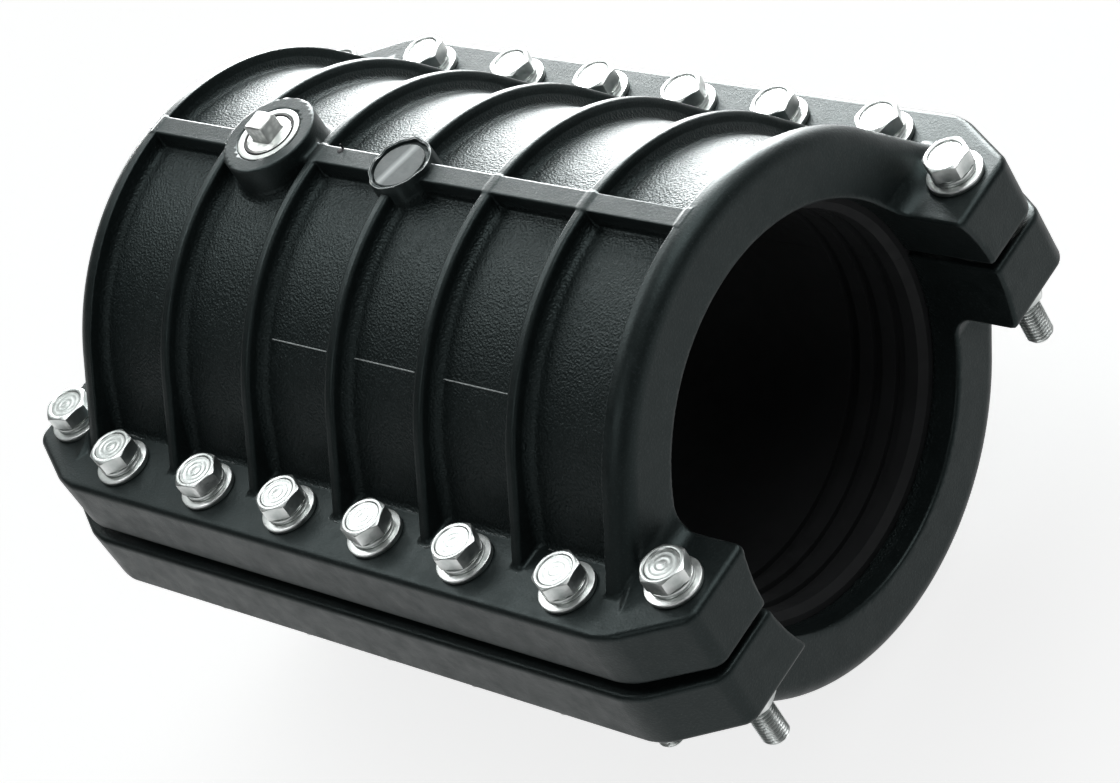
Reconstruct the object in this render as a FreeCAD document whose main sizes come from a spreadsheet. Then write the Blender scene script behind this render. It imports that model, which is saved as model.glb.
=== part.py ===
import FreeCAD, Part
import math
import os
import Sketcher

# Two-half bolted pipe repair clamp for a 160 mm plastic pipe.
# +X runs along the pipe, +Z along the bolts, and the origin is the centre of the pipe.
# Every size is in millimetres and lives in the spreadsheet "dims".

sizes = {
    # moulded halves
    "barrel_radius": 105.0,      # outside of the wall between the ribs
    "barrel_foot": 103.0,        # half width of the wall where it meets the flange
    "rib_radius": 113.7,
    "rib_foot": 116.5,
    "rib_width": 5.4,
    "rib_pitch": 50.4,
    "collar_end": 159.5,         # end face of the thick collar
    "collar_width": 11.0,
    "collar_foot": 117.5,
    "spine_width": 9.4,          # flat bar along the crown
    "bore_radius": 86.0,
    "recess_radius": 93.0,       # seat of the rubber lining
    "recess_half": 146.0,
    "half_gap": 1.5,             # half the gap between the two flanges
    "flange_top": 30.9,
    "chamfer_start": 158.0,      # where the flange corner is cut off
    "ear_end": 191.0,
    "upper_flange_half": 136.0,
    "upper_ear_half": 117.0,
    "lower_flange_half": 140.0,
    "lower_ear_half": 119.5,
    # port and moulding gate on the crown
    "port_x": -75.6,
    "boss_radius": 21.4,
    "boss_top": 120.2,
    "crown_root": 96.0,          # where boss, gate and spine start inside the wall
    "gate_radius": 14.0,
    "gate_top": 116.6,
    "insert_radius": 14.5,
    "insert_floor": 104.0,
    "insert_bore": 10.53,
    "port_hole": 9.0,
    "plug_radius": 10.48,
    "plug_length": 13.0,
    "plug_square": 10.2,
    "plug_head": 8.4,
    "seal_seat": 11.65,
    "seal_radius": 11.6,
    "seal_hole": 10.5,
    "seal_height": 2.0,
    # rubber lining
    "lining_radius": 80.5,
    "lining_clearance": 0.05,
    "lead_in": 3.0,
    "groove_depth": 2.5,
    "groove_width": 5.0,
    "groove_first": 134.0,
    "groove_pitch": 12.0,
    # fasteners
    "row_y": 118.6,
    "bay_first": 25.2,
    "bay_second": 75.6,
    "bay_third": 130.5,
    "ear_x": 174.1,
    "ear_y": 104.4,
    "bolt_hole": 6.75,
    "bolt_radius": 6.0,
    "bolt_length": 100.0,
    "head_flats": 18.0,
    "head_height": 7.5,
    "head_bevel": 1.2,
    "dish_radius": 6.2,
    "dish_depth": 1.2,
    "tip_bevel": 1.2,
    "washer_radius": 12.0,
    "washer_hole": 6.5,
    "washer_thickness": 2.5,
    "spring_radius": 10.2,
    "spring_hole": 6.2,
    "spring_thickness": 2.5,
    "spring_split": 2.0,
    "nut_height": 10.0,
    "nut_hole": 6.05,
}
rib_count = 5
groove_count = 3

doc = FreeCAD.newDocument("pipe_repair_clamp")
sheet = doc.addObject("Spreadsheet::Sheet", "dims")
for row, (alias, value) in enumerate(sizes.items(), start=1):
    sheet.set(f"A{row}", alias)
    sheet.set(f"B{row}", str(value))
    sheet.setAlias(f"B{row}", alias)
doc.recompute()

origin = FreeCAD.Vector(0, 0, 0)
up = FreeCAD.Vector(0, 0, 1)
turned_over = FreeCAD.Rotation(FreeCAD.Vector(1, 0, 0), 180)


class Size:
    """A length that knows its value and the sheet formula that gives it."""

    def __init__(self, value, text):
        self.value = value
        self.text = text

    def __add__(self, other):
        return Size(self.value + other.value, f"({self.text} + {other.text})")

    def __sub__(self, other):
        return Size(self.value - other.value, f"({self.text} - {other.text})")

    def __mul__(self, number):
        return Size(self.value * number, f"({self.text}) * {number}")

    def __neg__(self):
        return self * -1


dim = {alias: Size(value, f"dims.{alias}") for alias, value in sizes.items()}
nothing = Size(0.0, "0")


# ---- sketches ----

def origin_feature(body, role):
    return next(item for item in body.Origin.OriginFeatures if item.Role == role)


def new_sketch(body, name, plane, height=nothing):
    sketch = body.newObject("Sketcher::SketchObject", name)
    sketch.AttachmentSupport = [(origin_feature(body, plane), "")]
    sketch.MapMode = "FlatFace"
    sketch.setExpression("AttachmentOffset.Base.z", height.text)
    return sketch


def bind(sketch, constraint, size):
    index = sketch.addConstraint(constraint)
    sketch.setExpression(f"Constraints[{index}]", size.text)


def fix_point(sketch, edge, end, x, y):
    """Hold one end of a sketch edge at x, y."""
    if abs(x.value) < 1e-9:
        sketch.addConstraint(Sketcher.Constraint("PointOnObject", edge, end, -2))
    else:
        bind(sketch, Sketcher.Constraint("DistanceX", -1, 1, edge, end, x.value), x)
    if abs(y.value) < 1e-9:
        sketch.addConstraint(Sketcher.Constraint("PointOnObject", edge, end, -1))
    else:
        bind(sketch, Sketcher.Constraint("DistanceY", -1, 1, edge, end, y.value), y)


def draw_circle(sketch, radius, x=nothing, y=nothing):
    centre = FreeCAD.Vector(x.value, y.value, 0)
    edge = sketch.addGeometry(Part.Circle(centre, up, radius.value))
    fix_point(sketch, edge, 3, x, y)
    bind(sketch, Sketcher.Constraint("Radius", edge, radius.value), radius)


def draw_polygon(sketch, corners):
    points = [FreeCAD.Vector(x.value, y.value, 0) for x, y in corners]
    edges = [sketch.addGeometry(Part.LineSegment(start, end))
             for start, end in zip(points, points[1:] + points[:1])]
    for edge, following in zip(edges, edges[1:] + edges[:1]):
        sketch.addConstraint(Sketcher.Constraint("Coincident", edge, 2, following, 1))
    for edge, (x, y) in zip(edges, corners):
        fix_point(sketch, edge, 1, x, y)


def draw_box(sketch, left, right, bottom, top):
    draw_polygon(sketch, [(left, bottom), (right, bottom), (right, top), (left, top)])


def draw_hexagon(sketch, flats):
    """A hexagon round the origin with its corners on the sketch's X axis."""
    corner = flats * (1 / math.sqrt(3))
    half_flats = flats * 0.5
    draw_polygon(sketch, [(corner, nothing), (corner * 0.5, half_flats),
                          (corner * -0.5, half_flats), (-corner, nothing),
                          (corner * -0.5, -half_flats), (corner * 0.5, -half_flats)])


def draw_barrel(sketch, radius, foot):
    """An arch round the pipe whose two ends run straight down to the flange's top."""
    base = dim["flange_top"]
    reach = math.hypot(foot.value, base.value)
    angle = math.atan2(base.value, foot.value) + math.acos(radius.value / reach)
    touch = FreeCAD.Vector(radius.value * math.cos(angle), radius.value * math.sin(angle), 0)
    touch_left = FreeCAD.Vector(-touch.x, touch.y, 0)
    right_foot = FreeCAD.Vector(foot.value, base.value, 0)
    left_foot = FreeCAD.Vector(-foot.value, base.value, 0)
    circle = Part.Circle(origin, up, radius.value)
    arch = sketch.addGeometry(Part.ArcOfCircle(circle, angle, math.pi - angle))
    right = sketch.addGeometry(Part.LineSegment(right_foot, touch))
    left = sketch.addGeometry(Part.LineSegment(touch_left, left_foot))
    floor = sketch.addGeometry(Part.LineSegment(left_foot, right_foot))
    sketch.addConstraint(Sketcher.Constraint("Coincident", arch, 3, -1, 1))
    sketch.addConstraint(Sketcher.Constraint("Tangent", right, 2, arch, 1))
    sketch.addConstraint(Sketcher.Constraint("Tangent", left, 1, arch, 2))
    sketch.addConstraint(Sketcher.Constraint("Coincident", left, 2, floor, 1))
    sketch.addConstraint(Sketcher.Constraint("Coincident", floor, 2, right, 1))
    bind(sketch, Sketcher.Constraint("Radius", arch, radius.value), radius)
    fix_point(sketch, right, 1, foot, base)
    fix_point(sketch, left, 2, -foot, base)


# ---- features ----

def add_pad(body, sketch, length, side="One side", downwards=False):
    pad = body.newObject("PartDesign::Pad", sketch.Name + "_pad")
    pad.Profile = sketch
    pad.SideType = side
    pad.Reversed = downwards
    pad.setExpression("Length", length.text)
    doc.recompute()
    return pad


def check_cut(body, before, name):
    doc.recompute()
    if body.Shape.Volume > before - 1.0:
        raise RuntimeError(f"{name} removes nothing")


def add_pocket(body, sketch, length=None, side="One side", upwards=False):
    """Cut a sketch into its body: all the way through when no length is given."""
    before = body.Shape.Volume
    pocket = body.newObject("PartDesign::Pocket", sketch.Name + "_pocket")
    pocket.Profile = sketch
    pocket.SideType = side
    pocket.Reversed = upwards
    if length is None:
        pocket.Type = "ThroughAll"
    else:
        pocket.setExpression("Length", length.text)
    check_cut(body, before, sketch.Name)
    return pocket


def add_groove(body, sketch, axis):
    before = body.Shape.Volume
    groove = body.newObject("PartDesign::Groove", sketch.Name + "_groove")
    groove.Profile = sketch
    groove.ReferenceAxis = (origin_feature(body, axis), [""])
    groove.Angle = 360
    check_cut(body, before, sketch.Name)
    return groove


def add_mirror(body, originals):
    mirror = body.newObject("PartDesign::Mirrored", body.Name + "_mirror")
    mirror.Originals = originals
    mirror.MirrorPlane = (origin_feature(body, "YZ_Plane"), [""])
    body.Tip = mirror
    doc.recompute()


def place(item, x=nothing, y=nothing, z=nothing):
    for letter, size in zip("xyz", (x, y, z)):
        item.setExpression(f"Placement.Base.{letter}", size.text)


# ---- where the bolts stand ----

def bolt_places():
    """The x, y and name of every bolt: a row of six and an ear bolt at each end, twice."""
    bays = [dim["bay_first"], dim["bay_second"], dim["bay_third"]]
    along = [-dim["ear_x"]] + [-bay for bay in reversed(bays)] + bays + [dim["ear_x"]]
    places = []
    for side, sign in (("front", -1), ("back", 1)):
        for number, x in enumerate(along, start=1):
            y = dim["ear_y"] if number in (1, len(along)) else dim["row_y"]
            places.append((f"{side}_{number}", x, y * sign))
    return places


# ---- the two moulded halves ----

def make_shell(label, flange_half, ear_half, has_port):
    """One moulded half, drawn with its flange's gap face down and its barrel up."""
    body = doc.addObject("PartDesign::Body", label)
    length = dim["ear_end"]
    start = dim["chamfer_start"]

    plan = new_sketch(body, label + "_flange", "XY_Plane", dim["half_gap"])
    draw_polygon(plan, [(start, -flange_half), (length, -ear_half), (length, ear_half),
                        (start, flange_half), (-start, flange_half), (-length, ear_half),
                        (-length, -ear_half), (-start, -flange_half)])
    add_pad(body, plan, dim["flange_top"] - dim["half_gap"])

    wall = new_sketch(body, label + "_wall", "YZ_Plane")
    draw_barrel(wall, dim["barrel_radius"], dim["barrel_foot"])
    add_pad(body, wall, dim["collar_end"] * 2, side="Symmetric")

    spine = new_sketch(body, label + "_spine", "YZ_Plane")
    half_spine = dim["spine_width"] * 0.5
    draw_box(spine, -half_spine, half_spine, dim["crown_root"], dim["rib_radius"])
    add_pad(body, spine, (dim["collar_end"] - dim["collar_width"] * 0.5) * 2, side="Symmetric")

    first_rib = dim["rib_pitch"] * (-(rib_count - 1) / 2)
    rib = new_sketch(body, label + "_rib", "YZ_Plane", first_rib - dim["rib_width"] * 0.5)
    draw_barrel(rib, dim["rib_radius"], dim["rib_foot"])
    rib_pad = add_pad(body, rib, dim["rib_width"])
    ribs = body.newObject("PartDesign::LinearPattern", label + "_ribs")
    ribs.Originals = [rib_pad]
    ribs.Direction = (origin_feature(body, "X_Axis"), [""])
    ribs.Mode = "Extent"
    ribs.Occurrences = rib_count
    ribs.setExpression("Length", (dim["rib_pitch"] * (rib_count - 1)).text)
    body.Tip = ribs
    doc.recompute()

    collar = new_sketch(body, label + "_collar", "YZ_Plane",
                        dim["collar_end"] - dim["collar_width"])
    draw_barrel(collar, dim["rib_radius"], dim["collar_foot"])
    add_mirror(body, [add_pad(body, collar, dim["collar_width"])])

    gate = new_sketch(body, label + "_gate", "XY_Plane", dim["crown_root"])
    draw_circle(gate, dim["gate_radius"])
    add_pad(body, gate, dim["gate_top"] - dim["crown_root"])
    if has_port:
        boss = new_sketch(body, label + "_boss", "XY_Plane", dim["crown_root"])
        draw_circle(boss, dim["boss_radius"], dim["port_x"])
        add_pad(body, boss, dim["boss_top"] - dim["crown_root"])

    bore = new_sketch(body, label + "_bore", "YZ_Plane")
    draw_circle(bore, dim["bore_radius"])
    add_pocket(body, bore, side="Symmetric")
    recess = new_sketch(body, label + "_recess", "YZ_Plane")
    draw_circle(recess, dim["recess_radius"])
    add_pocket(body, recess, dim["recess_half"] * 2, side="Symmetric")

    holes = new_sketch(body, label + "_bolt_holes", "XY_Plane", dim["flange_top"])
    for _, x, y in bolt_places():
        draw_circle(holes, dim["bolt_hole"], x, y)
    add_pocket(body, holes, dim["flange_top"])
    if has_port:
        seat = new_sketch(body, label + "_insert_seat", "XY_Plane", dim["boss_top"])
        draw_circle(seat, dim["insert_radius"], dim["port_x"])
        add_pocket(body, seat, dim["boss_top"] - dim["insert_floor"])
        port = new_sketch(body, label + "_port", "XY_Plane", dim["boss_top"])
        draw_circle(port, dim["port_hole"], dim["port_x"])
        add_pocket(body, port, dim["boss_top"] - dim["bore_radius"])
    return body


def make_lining(label, has_port):
    """Half of the rubber sleeve, grooved near its ends so that ridges grip the pipe."""
    body = doc.addObject("PartDesign::Body", label)
    half = dim["recess_half"]
    inner = dim["lining_radius"]
    land = half - dim["lead_in"]
    profile = new_sketch(body, label + "_profile", "XZ_Plane")
    draw_polygon(profile, [(-half, dim["recess_radius"]), (half, dim["recess_radius"]),
                           (half, inner + dim["lead_in"]), (land, inner),
                           (-land, inner), (-half, inner + dim["lead_in"])])
    sleeve = body.newObject("PartDesign::Revolution", label + "_sleeve")
    sleeve.Profile = profile
    sleeve.ReferenceAxis = (origin_feature(body, "X_Axis"), [""])
    sleeve.Midplane = True
    sleeve.Angle = 180
    doc.recompute()

    grooves = []
    half_width = dim["groove_width"] * 0.5
    for number in range(groove_count):
        middle = dim["groove_first"] - dim["groove_pitch"] * number
        groove = new_sketch(body, f"{label}_groove_{number + 1}", "XZ_Plane")
        draw_box(groove, middle - half_width, middle + half_width,
                 inner - dim["groove_depth"], inner + dim["groove_depth"])
        grooves.append(add_groove(body, groove, "X_Axis"))
    add_mirror(body, grooves)

    trim = new_sketch(body, label + "_trim", "XY_Plane")
    draw_box(trim, -dim["collar_end"], dim["collar_end"], -dim["rib_radius"], dim["rib_radius"])
    add_pocket(body, trim, dim["lining_clearance"], upwards=True)
    if has_port:
        port = new_sketch(body, label + "_port", "XY_Plane", dim["boss_top"])
        draw_circle(port, dim["port_hole"], dim["port_x"])
        add_pocket(body, port, dim["boss_top"] - dim["lining_radius"] * 0.5)
    return body


# ---- fasteners ----

def make_bolt(label):
    """A hexagon bolt with a dished head, drawn with the head's underside at z = 0."""
    body = doc.addObject("PartDesign::Body", label)
    head = new_sketch(body, label + "_head", "XY_Plane")
    draw_hexagon(head, dim["head_flats"])
    add_pad(body, head, dim["head_height"])
    shank = new_sketch(body, label + "_shank", "XY_Plane")
    draw_circle(shank, dim["bolt_radius"])
    add_pad(body, shank, dim["bolt_length"], downwards=True)
    dish = new_sketch(body, label + "_dish", "XY_Plane", dim["head_height"])
    draw_circle(dish, dim["dish_radius"])
    add_pocket(body, dish, dim["dish_depth"])

    bevel = new_sketch(body, label + "_bevel", "XZ_Plane")
    rim = dim["head_flats"] * 0.5
    outside = rim + dim["head_bevel"] * 2
    draw_polygon(bevel, [(rim, dim["head_height"]), (outside, dim["head_height"] - dim["head_bevel"]),
                         (outside, dim["head_height"] + dim["head_bevel"]),
                         (rim, dim["head_height"] + dim["head_bevel"])])
    add_groove(body, bevel, "Z_Axis")
    tip = new_sketch(body, label + "_tip", "XZ_Plane")
    radius = dim["bolt_radius"]
    end = -dim["bolt_length"]
    draw_polygon(tip, [(radius - dim["tip_bevel"], end), (radius, end + dim["tip_bevel"]),
                       (radius + dim["tip_bevel"], end), (radius, end - dim["tip_bevel"])])
    add_groove(body, tip, "Z_Axis")
    return body


def make_ring(label, outer, inner, height):
    body = doc.addObject("PartDesign::Body", label)
    ring = new_sketch(body, label + "_ring", "XY_Plane")
    draw_circle(ring, outer)
    draw_circle(ring, inner)
    add_pad(body, ring, height)
    return body


def make_spring_washer(label):
    """A ring of square section with a split cut through one side."""
    body = make_ring(label, dim["spring_radius"], dim["spring_hole"], dim["spring_thickness"])
    split = new_sketch(body, label + "_split", "XY_Plane", dim["spring_thickness"])
    half_split = dim["spring_split"] * 0.5
    draw_box(split, dim["spring_hole"] * 0.5, dim["washer_radius"], -half_split, half_split)
    add_pocket(body, split)
    return body


def make_nuts():
    """The hexagon nuts under the lower flange, one solid each, kept together."""
    parts = []
    for name, x, y in bolt_places():
        hexagon = doc.addObject("Part::Prism", f"nut_hexagon_{name}")
        hexagon.Polygon = 6
        hexagon.setExpression("Circumradius", f"dims.head_flats / {math.sqrt(3)}")
        hexagon.setExpression("Height", "dims.nut_height")
        hole = doc.addObject("Part::Cylinder", f"nut_hole_{name}")
        hole.setExpression("Radius", "dims.nut_hole")
        hole.setExpression("Height", "dims.nut_height")
        nut = doc.addObject("Part::Cut", f"nut_{name}")
        nut.Base = hexagon
        nut.Tool = hole
        place(nut, x, y, -(dim["flange_top"] + dim["nut_height"]))
        parts.append(nut)
    nuts = doc.addObject("Part::Compound", "nuts")
    nuts.Links = parts
    doc.recompute()
    return nuts


# ---- the plugged port ----

def make_insert():
    """The metal ring moulded into the boss, counterbored for the plug's seal."""
    height = dim["boss_top"] - dim["insert_floor"]
    body = make_ring("port_insert", dim["insert_radius"], dim["insert_bore"], height)
    seat = new_sketch(body, "insert_counterbore", "XY_Plane", height)
    draw_circle(seat, dim["seal_seat"])
    add_pocket(body, seat, dim["seal_height"])
    place(body, dim["port_x"], nothing, dim["insert_floor"])
    return body


def make_plug():
    """A square-headed plug, drawn with the top of its threaded part at z = 0."""
    body = doc.addObject("PartDesign::Body", "vent_plug")
    thread = new_sketch(body, "plug_thread", "XY_Plane")
    draw_circle(thread, dim["plug_radius"])
    add_pad(body, thread, dim["plug_length"], downwards=True)
    head = new_sketch(body, "plug_square_head", "XY_Plane")
    half_square = dim["plug_square"] * 0.5
    draw_box(head, -half_square, half_square, -half_square, half_square)
    add_pad(body, head, dim["plug_head"])
    place(body, dim["port_x"], nothing, dim["boss_top"])
    return body


# ---- assembly ----

nodes = []


def keep(label, item):
    item.Label = label
    nodes.append(item)


keep("upper_shell", make_shell("upper_shell", dim["upper_flange_half"], dim["upper_ear_half"], True))
keep("upper_lining", make_lining("upper_lining", True))
lower_shell = make_shell("lower_shell", dim["lower_flange_half"], dim["lower_ear_half"], False)
lower_lining = make_lining("lower_lining", False)
for label, half in (("lower_shell", lower_shell), ("lower_lining", lower_lining)):
    half.Placement = FreeCAD.Placement(origin, turned_over)
    keep(label, half)

keep("port_insert", make_insert())
keep("vent_plug", make_plug())
plug_seal = make_ring("plug_seal", dim["seal_radius"], dim["seal_hole"], dim["seal_height"])
place(plug_seal, dim["port_x"], nothing, dim["boss_top"] - dim["seal_height"])
keep("plug_seal", plug_seal)

spring_seat = dim["flange_top"] + dim["washer_thickness"]
head_seat = spring_seat + dim["spring_thickness"]
for name, x, y in bolt_places():
    washer = make_ring(f"flat_washer_{name}", dim["washer_radius"], dim["washer_hole"],
                       dim["washer_thickness"])
    place(washer, x, y, dim["flange_top"])
    keep(f"flat_washer_{name}", washer)
    spring = make_spring_washer(f"spring_washer_{name}")
    place(spring, x, y, spring_seat)
    keep(f"spring_washer_{name}", spring)
    bolt = make_bolt(f"bolt_{name}")
    place(bolt, x, y, head_seat)
    keep(f"bolt_{name}", bolt)
keep("nuts", make_nuts())
doc.recompute()

for item in doc.Objects:
    if "Invalid" in item.State or "Error" in item.State:
        raise RuntimeError(f"{item.Name} failed: {item.State}")
for node in nodes:
    if node.Shape.isNull() or not node.Shape.isValid():
        raise RuntimeError(f"{node.Label} has no valid shape")

os.makedirs("parts", exist_ok=True)
for node in nodes:
    node.Shape.exportStep(f"parts/{node.Label}.step")
    print(f"{node.Label:26s} solids {len(node.Shape.Solids):2d} volume {node.Shape.Volume / 1000:9.2f} cm3")
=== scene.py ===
import math

import bpy
import numpy as np
from mathutils import Matrix, Quaternion, Vector


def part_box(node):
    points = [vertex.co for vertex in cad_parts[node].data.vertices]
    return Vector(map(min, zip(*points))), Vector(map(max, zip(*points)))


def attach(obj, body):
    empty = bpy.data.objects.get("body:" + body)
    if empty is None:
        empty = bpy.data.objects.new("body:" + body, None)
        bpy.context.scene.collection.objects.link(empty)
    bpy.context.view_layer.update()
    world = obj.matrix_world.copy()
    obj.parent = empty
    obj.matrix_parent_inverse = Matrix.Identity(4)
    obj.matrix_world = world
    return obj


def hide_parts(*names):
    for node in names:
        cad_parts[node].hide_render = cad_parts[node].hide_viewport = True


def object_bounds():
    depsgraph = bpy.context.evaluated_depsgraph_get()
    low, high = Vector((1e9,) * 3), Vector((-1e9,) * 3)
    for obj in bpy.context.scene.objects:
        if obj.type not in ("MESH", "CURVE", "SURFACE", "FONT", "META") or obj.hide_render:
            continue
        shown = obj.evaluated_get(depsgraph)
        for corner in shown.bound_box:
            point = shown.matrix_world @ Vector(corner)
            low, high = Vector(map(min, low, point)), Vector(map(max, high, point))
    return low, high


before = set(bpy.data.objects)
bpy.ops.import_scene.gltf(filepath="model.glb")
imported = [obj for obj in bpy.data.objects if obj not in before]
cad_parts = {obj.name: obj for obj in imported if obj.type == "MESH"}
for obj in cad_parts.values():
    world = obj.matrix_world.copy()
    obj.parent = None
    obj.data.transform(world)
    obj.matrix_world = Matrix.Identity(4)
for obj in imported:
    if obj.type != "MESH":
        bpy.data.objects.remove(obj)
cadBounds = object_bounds()
mm = 0.001
names = [f"{side}_{number}" for side in ("front", "back") for number in range(1, 9)]
print("frame loaded,", len(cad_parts), "CAD nodes")


# shaping tools: a field is negative inside the solid, and its zero is the skin

def fillet(a, b, radius):  # joins two solids with a hollow fillet
    hollow = np.hypot(np.maximum(radius - a, 0), np.maximum(radius - b, 0))
    return np.maximum(radius, np.minimum(a, b)) - hollow


def roundEdge(a, b, radius):  # keeps what is in both, with a rounded edge
    bulge = np.hypot(np.maximum(radius + a, 0), np.maximum(radius + b, 0))
    return np.minimum(-radius, np.maximum(a, b)) + bulge


def ease(value, low, high):  # goes softly from 0 at low to 1 at high
    share = np.clip((value - low) / (high - low), 0, 1)
    return share * share * (3 - 2 * share)


def stops(*spans):  # grid lines, finer where the shape turns sharply
    lines = [np.arange(low, high, step) for low, high, step in spans]
    return np.concatenate(lines + [[spans[-1][1]]]).astype(np.float32)


def skinOf(field, lines):  # one point in each cell that the skin crosses, and the faces between them
    values = field(lines[0][:, None, None], lines[1][None, :, None], lines[2][None, None, :])
    inside = values < 0
    size = np.array(inside.shape) - 1
    corners = [(i, j, k) for i in (0, 1) for j in (0, 1) for k in (0, 1)]

    def shifted(whole, corner):
        return whole[tuple(slice(c, c + n) for c, n in zip(corner, size))]

    filled = sum(shifted(inside, corner).astype(np.uint8) for corner in corners)
    cells = np.argwhere((filled > 0) & (filled < 8))
    index = np.full(size, -1)
    index[tuple(cells.T)] = np.arange(len(cells))
    depth = {c: values[tuple((cells + c).T)].astype(float) for c in corners}
    total, hits = np.zeros((len(cells), 3)), np.zeros(len(cells))
    for axis in range(3):
        for low in [c for c in corners if c[axis] == 0]:
            high = tuple(1 if n == axis else c for n, c in enumerate(low))
            crossed = np.flatnonzero((depth[low] < 0) != (depth[high] < 0))
            share = depth[low][crossed] / (depth[low][crossed] - depth[high][crossed])
            for n in range(3):
                start = lines[n][cells[crossed, n] + low[n]]
                end = lines[n][cells[crossed, n] + high[n]]
                total[crossed, n] += start + share * (end - start)
            hits[crossed] += 1
    faces = []
    for axis in range(3):
        a, b = np.eye(3, dtype=int)[(axis + 1) % 3], np.eye(3, dtype=int)[(axis + 2) % 3]
        first = np.moveaxis(inside, axis, 0)[:-1]
        second = np.moveaxis(inside, axis, 0)[1:]
        edge = np.argwhere(np.moveaxis(first != second, 0, axis))
        edge = edge[np.all(edge - a - b >= 0, axis=1) & np.all(edge < size, axis=1)]
        quad = np.stack([index[tuple((edge - s).T)] for s in (a + b, b, 0 * a, a)], axis=1)
        outward = inside[tuple(edge.T)]
        faces.append(np.where(outward[:, None], quad, quad[:, ::-1]))
    return total / hits[:, None], np.concatenate(faces)


settling = {"rounds": 4, "probe": 0.02, "leastSlope": 0.3, "longestMove": 0.8}


def settle(field, points):  # moves the points onto the true skin and finds its normals
    probe, longest = settling["probe"], settling["longestMove"]
    for turn in range(settling["rounds"] + 1):
        here = field(*points.T)
        slope = np.stack([field(*(points + probe * side).T) - here for side in np.eye(3)], axis=1) / probe
        steep = np.maximum(np.linalg.norm(slope, axis=1), settling["leastSlope"])[:, None]
        if turn < settling["rounds"]:
            points = points - slope / steep * np.clip(here[:, None] / steep, -longest, longest)
    return points, slope / steep


# mesh tools: sizes in millimetres until the piece is made

hub = 0.05  # the smallest ring, which closes a turned face at its centre


def makePiece(name, points, faces, finish, body, slot, stands=(), normals=None, sharp=35.0):
    mesh = bpy.data.meshes.new(name)
    faces = faces.tolist() if isinstance(faces, np.ndarray) else faces
    mesh.from_pydata((points * mm).tolist(), [], faces)
    mesh.materials.append(finish)
    mesh.shade_smooth()
    if normals is None:
        mesh.set_sharp_from_angle(angle=math.radians(sharp))
    else:
        mesh.normals_split_custom_set_from_vertices(normals.tolist())
    piece = bpy.data.objects.new(name, mesh)
    bpy.context.scene.collection.objects.link(piece)
    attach(piece, body)
    if stands:
        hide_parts(*stands)


# each ring is (radius, height), and either can be a function of the angle
def turned(rings, count, closed=False, spin=0.0):
    angles = np.arange(count) * 2 * math.pi / count
    points = []
    for radius, height in rings:
        reach = radius(angles) if callable(radius) else np.full(count, float(radius))
        level = height(angles) if callable(height) else np.full(count, float(height))
        points.append(np.stack([reach * np.cos(angles + spin), reach * np.sin(angles + spin), level], axis=1))
    faces = []
    for n in range(len(rings) if closed else len(rings) - 1):
        low, high = n * count, (n + 1) % len(rings) * count
        faces += [(low + k, low + (k + 1) % count, high + (k + 1) % count, high + k) for k in range(count)]
    if not closed:
        faces.append(tuple(range(count))[::-1])
        faces.append(tuple(range((len(rings) - 1) * count, len(rings) * count)))
    return np.concatenate(points), faces


def evenSided(sides, flats, corner, bite=8):  # outline of a nut or a square, with its corners eased
    def radius(angle):
        turn = (angle + math.pi / sides) % (2 * math.pi / sides) - math.pi / sides
        reach = flats / 2 / np.cos(math.pi / sides - np.abs(turn))
        limit = flats / 2 / math.cos(math.pi / sides) - corner * 0.4
        return limit - np.logaddexp(0, (limit - reach) * bite) / bite
    return radius


thread = {"steepness": 2.6, "rootFlat": 0.2}


def threadRidge(turns):  # 0 at the root of a thread and 1 at its crest
    return np.clip(np.abs(turns % 1.0 - 0.5) * thread["steepness"] - thread["rootFlat"], 0, 1)


def prism(sections):  # joins matching outlines in order and closes both ends
    size, count = len(sections[0]), len(sections)
    faces = []
    for n in range(count - 1):
        for k in range(size):
            after = (k + 1) % size
            faces.append((n * size + k, (n + 1) * size + k, (n + 1) * size + after, n * size + after))
    faces += [tuple(range(size)), tuple(range((count - 1) * size, count * size))[::-1]]
    return np.concatenate(sections), faces


def together(*shapes):  # puts several shapes in one mesh
    points, faces, start = [], [], 0
    for shapePoints, shapeFaces in shapes:
        points.append(shapePoints)
        faces += [tuple(int(v) + start for v in face) for face in shapeFaces]
        start += len(shapePoints)
    return np.concatenate(points), faces


# finishes

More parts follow.
